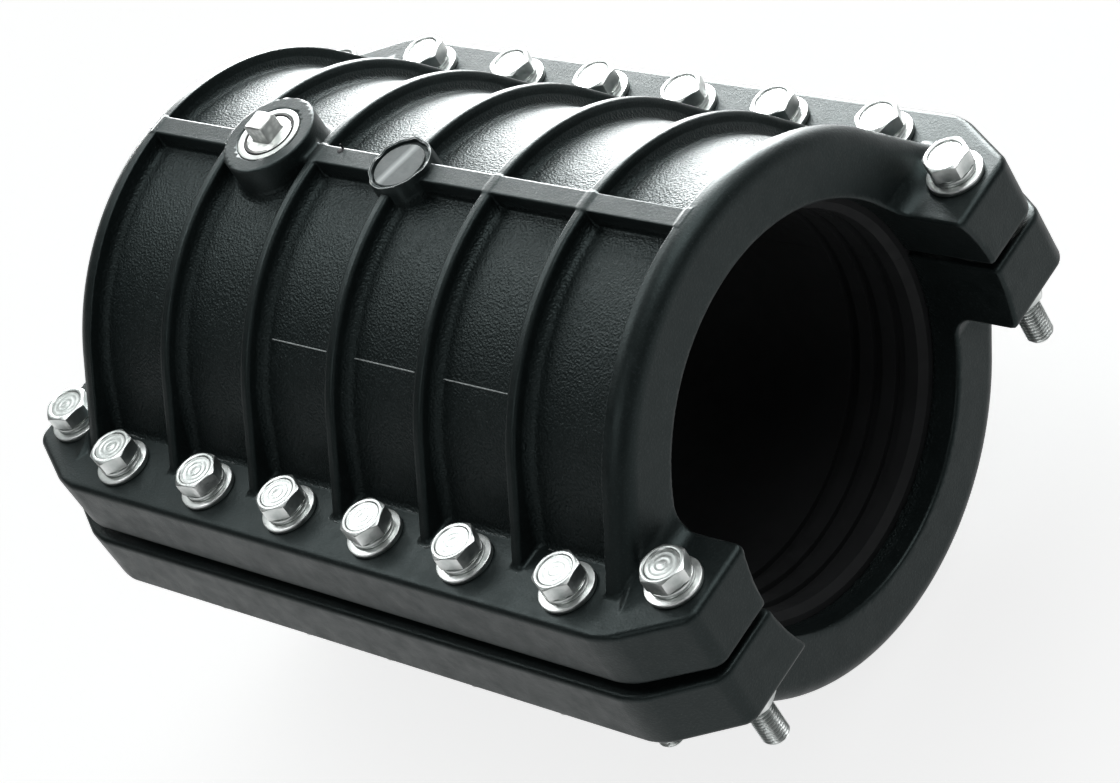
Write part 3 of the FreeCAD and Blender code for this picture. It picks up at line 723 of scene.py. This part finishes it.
nutLow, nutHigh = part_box("nuts")[0].z / mm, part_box("nuts")[1].z / mm
allNuts = []
for place, name in enumerate(names):
    title = name.title().replace("_", "")
    shank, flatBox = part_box(f"bolt_{name}"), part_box(f"flat_washer_{name}")
    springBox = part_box(f"spring_washer_{name}")
    middle = np.array([*((shank[0] + shank[1]) / 2).xy, 0]) / mm
    spin = math.radians(headTurn[name])
    points, faces = boltShape(springBox[1].z / mm, shank[0].z / mm, spin)
    makePiece(f"bolt{title}", points + middle, faces, zinc, f"bolt_{name}", "zinc_steel",
              [f"bolt_{name}"], sharp=bolt["sharpAngle"])
    points, faces = flatWasher(flatBox)
    makePiece(f"flatWasher{title}", points + middle, faces, zinc, f"washers_{name}", "zinc_steel",
              [f"flat_washer_{name}"])
    split = washer["splitFirst"] + place * washer["splitStep"] % washer["splitRange"]
    points, faces = springWasher(springBox, split)
    makePiece(f"springWasher{title}", points + middle, faces, zinc, f"washers_{name}", "zinc_steel",
              [f"spring_washer_{name}"])
    points, faces = nutShape(nutLow, nutHigh, place * nut["turnStep"] + nut["turnFirst"])
    allNuts.append((points + middle, faces))
makePiece("hexNuts", *together(*allNuts), zinc, "lower_half", "zinc_steel", ["nuts"])
print("fasteners made")


# vent plug, its seal and the threaded insert

port = {
    "square": 10.2, "squareCorner": 0.9, "topBevel": 0.7, "turn": math.radians(45.5), "segments": 64,
    "plugRadius": 10.45, "plugRoot": 9.75, "pitch": 1.814, "plugRings": 6,
    "insertEdge": 0.5, "insertBore": 10.53, "groove": 0.22, "insertRings": 4, "seatDeep": 2.0,
    "sealGap": 0.05, "sealHole": 10.5, "sealRings": 12, "sealSquare": 0.7, "sealShare": 0.9,
}


def plugShape(box):
    low, high, rim = box[0].z / mm, box[1].z / mm, portBox[1].z / mm
    square = evenSided(4, port["square"], port["squareCorner"])
    bevel, outer, root = port["topBevel"], port["plugRadius"], port["plugRoot"]
    rings = [(hub, high), (lambda a: square(a) * 0.5, high), (lambda a: square(a) - bevel * 1.15, high),
             (lambda a: square(a) - bevel, high - 0.12), (lambda a: square(a) - 0.15, high - bevel * 0.8),
             (square, high - bevel - 0.2), (square, rim + 1.0), (lambda a: square(a) + 0.5, rim + 0.25),
             (outer - 0.6, rim), (outer, rim - 0.5), (outer, rim - 2.2)]
    for level in np.arange(rim - 2.4, low + 1.0, -port["pitch"] / port["plugRings"]):
        def wound(angle, level=level):
            ridge = threadRidge(level / port["pitch"] - angle / (2 * math.pi))
            return root + (outer - root) * ridge
        rings.append((wound, level))
    rings += [(root - 0.2, low + 0.5), (root - 0.8, low), (hub, low)]
    return turned(rings[::-1], port["segments"], spin=port["turn"])


def insertShape(box):
    low, high, e = box[0].z / mm, box[1].z / mm, port["insertEdge"]
    outer, bore, groove = (box[1].x - box[0].x) / 2 / mm, port["insertBore"], port["groove"]
    seat = (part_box("plug_seal")[1].x - portCentre.x) / mm + port["sealGap"]
    seatFloor = high - port["seatDeep"]
    rings = [(outer, low + e), (outer, high - e), (outer - e * 0.3, high - e * 0.3), (outer - e, high),
             (seat + 0.5, high), (seat, high - 0.5), (seat, seatFloor), (bore, seatFloor - 0.05)]
    for level in np.arange(seatFloor - 0.3, low + 0.6, -port["pitch"] / port["insertRings"]):
        rings.append((bore + groove * math.sin(2 * math.pi * level / port["pitch"]) + groove, level))
    rings += [(bore + 0.07, low), (outer - e, low)]
    return turned(rings, port["segments"], closed=True)


def sealShape(box):
    low, high = box[0].z / mm, box[1].z / mm
    outer, inner = (box[1].x - box[0].x) / 2 / mm, port["sealHole"]
    middle, wide, tall = (outer + inner) / 2, (outer - inner) / 2, (high - low) / 2
    rings = []
    for n in range(port["sealRings"]):
        angle = n * 2 * math.pi / port["sealRings"]
        squash = max(abs(math.cos(angle)), abs(math.sin(angle))) ** port["sealSquare"]
        reach = wide * math.cos(angle) / squash * port["sealShare"]
        rings.append((middle + reach, low + tall + tall * math.sin(angle)))
    return turned(rings, port["segments"], closed=True)


portPlace = np.array([portCentre.x, portCentre.y, 0]) / mm
points, faces = plugShape(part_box("vent_plug"))
makePiece("ventPlug", points + portPlace, faces, plugMetal, "vent_plug", "galvanised_steel", ["vent_plug"])
points, faces = insertShape(portBox)
makePiece("portInsert", points + portPlace, faces, insertMetal, "upper_half", "insert_metal", ["port_insert"])
points, faces = sealShape(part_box("plug_seal"))
makePiece("plugSeal", points + portPlace, faces, sealRubber, "plug_seal", "seal_rubber", ["plug_seal"])
print("port pieces made")

for node in ("upper_lining", "lower_lining"):  # the linings keep their CAD shape
    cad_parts[node].data.materials.clear()
    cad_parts[node].data.materials.append(liningRubberAndNickShade)


# floor, light and camera

studio = {
    "floorSize": 30.0, "floorTone": (0.82, 0.83, 0.83, 1), "floorGlow": 0.80,
    "floorPatches": (0.9, 0.9, 0.9, 1), "floorDrop": 0.0002,
    "skyTone": (0.97, 1.0, 0.99, 1), "skyLow": 0.10, "skyHigh": 0.85, "skyFrom": 0.70, "skyTo": 0.98,
    "skyTowards": (-0.62, 0.50, 0.60),
    "keyPlace": (-0.80, 0.95, 0.26), "keySize": (1.7, 0.75), "keyPower": 124.0, "keyLean": -42.0,
    "frontPlace": (0.35, -1.5, 1.35), "frontSize": (0.9, 0.5), "frontPower": 5.0, "frontLean": 0.0,
    "topPlace": (-0.31, -0.02, 0.52), "topSize": (0.46, 0.24), "topPower": 1.8, "topLean": 22.0,
    "overPlace": (0.45, 0.55, 1.25), "overSize": (1.2, 0.8), "overPower": 14.0, "overLean": 0.0,
}


def makeFloor():
    half, level = studio["floorSize"] / 2, cadBounds[0].z - studio["floorDrop"]
    mesh = bpy.data.meshes.new("studioFloor")
    corners = [(-half, -half, level), (half, -half, level), (half, half, level), (-half, half, level)]
    mesh.from_pydata(corners, [], [(0, 1, 2, 3)])
    f = Finish("paleFloor", Roughness=0.9, Specular_IOR_Level=0.1, Emission_Strength=studio["floorGlow"])
    f.shader.inputs["Emission Color"].default_value = (1, 1, 1, 1)
    tone = f.blend(f.noise(3), studio["floorTone"], studio["floorPatches"])
    mesh.materials.append(f.paint(Base_Color=tone))
    floor = bpy.data.objects.new("studioFloor", mesh)
    bpy.context.scene.collection.objects.link(floor)
    return floor


def makeSky():  # dim all round, brighter towards one side
    world = bpy.data.worlds.new("studioSky")
    bpy.context.scene.world = world
    world.use_nodes = True
    nodes, links = world.node_tree.nodes, world.node_tree.links
    direction = nodes.new("ShaderNodeTexCoord").outputs["Generated"]
    towards = nodes.new("ShaderNodeVectorMath")
    towards.operation = "DOT_PRODUCT"
    links.new(direction, towards.inputs[0])
    towards.inputs[1].default_value = Vector(studio["skyTowards"]).normalized()
    level = nodes.new("ShaderNodeMapRange")
    level.interpolation_type = "SMOOTHSTEP"
    links.new(towards.outputs["Value"], level.inputs["Value"])
    for socket, key in (("From Min", "skyFrom"), ("From Max", "skyTo"), ("To Min", "skyLow"),
                        ("To Max", "skyHigh")):
        level.inputs[socket].default_value = studio[key]
    links.new(level.outputs["Result"], nodes["Background"].inputs["Strength"])
    nodes["Background"].inputs["Color"].default_value = studio["skyTone"]


def addSoftbox(name, skips):  # points at the clamp and leaves one object unlit
    light = bpy.data.lights.new(name + "Softbox", "AREA")
    light.shape, light.energy = "RECTANGLE", studio[name + "Power"]
    light.size, light.size_y = studio[name + "Size"]
    lamp = bpy.data.objects.new(name + "Softbox", light)
    towards = (-Vector(studio[name + "Place"])).to_track_quat("-Z", "Y")
    lamp.rotation_mode = "QUATERNION"
    lamp.rotation_quaternion = towards @ Quaternion((0, 0, 1), math.radians(studio[name + "Lean"]))
    lamp.location = studio[name + "Place"]
    bpy.context.scene.collection.objects.link(lamp)
    skipped = bpy.data.collections.new(name + "Skips")
    skipped.objects.link(skips)
    skipped.collection_objects[0].light_linking.link_state = "EXCLUDE"
    lamp.light_linking.receiver_collection = skipped


floor = makeFloor()
makeSky()
for softbox in ("key", "front", "top", "over"):
    addSoftbox(softbox, floor)
bpy.context.scene.view_settings.view_transform = "Standard"

view = {
    "place": (1.0134, -0.5901, 0.9138), "azimuth": 59.68, "elevation": 38.71, "roll": 33.96,
    "lens": 114.3, "sensor": 36.0, "nearest": 0.05, "farthest": 60.0,
}
azimuth, elevation, roll = (math.radians(view[key]) for key in ("azimuth", "elevation", "roll"))
forward = Vector((-math.sin(azimuth) * math.cos(elevation), math.cos(azimuth) * math.cos(elevation),
                  -math.sin(elevation)))
level = Vector((math.cos(azimuth), math.sin(azimuth), 0))
upright = level.cross(forward)
right = level * math.cos(roll) - upright * math.sin(roll)
above = upright * math.cos(roll) + level * math.sin(roll)
camera = bpy.data.objects.new("camera", bpy.data.cameras.new("camera"))
camera.data.lens, camera.data.sensor_width = view["lens"], view["sensor"]
camera.data.clip_start, camera.data.clip_end = view["nearest"], view["farthest"]
facing = Matrix((right, above, -forward)).transposed().to_4x4()
camera.matrix_world = Matrix.Translation(view["place"]) @ facing
bpy.context.scene.collection.objects.link(camera)
bpy.context.scene.camera = camera
print("studio ready")
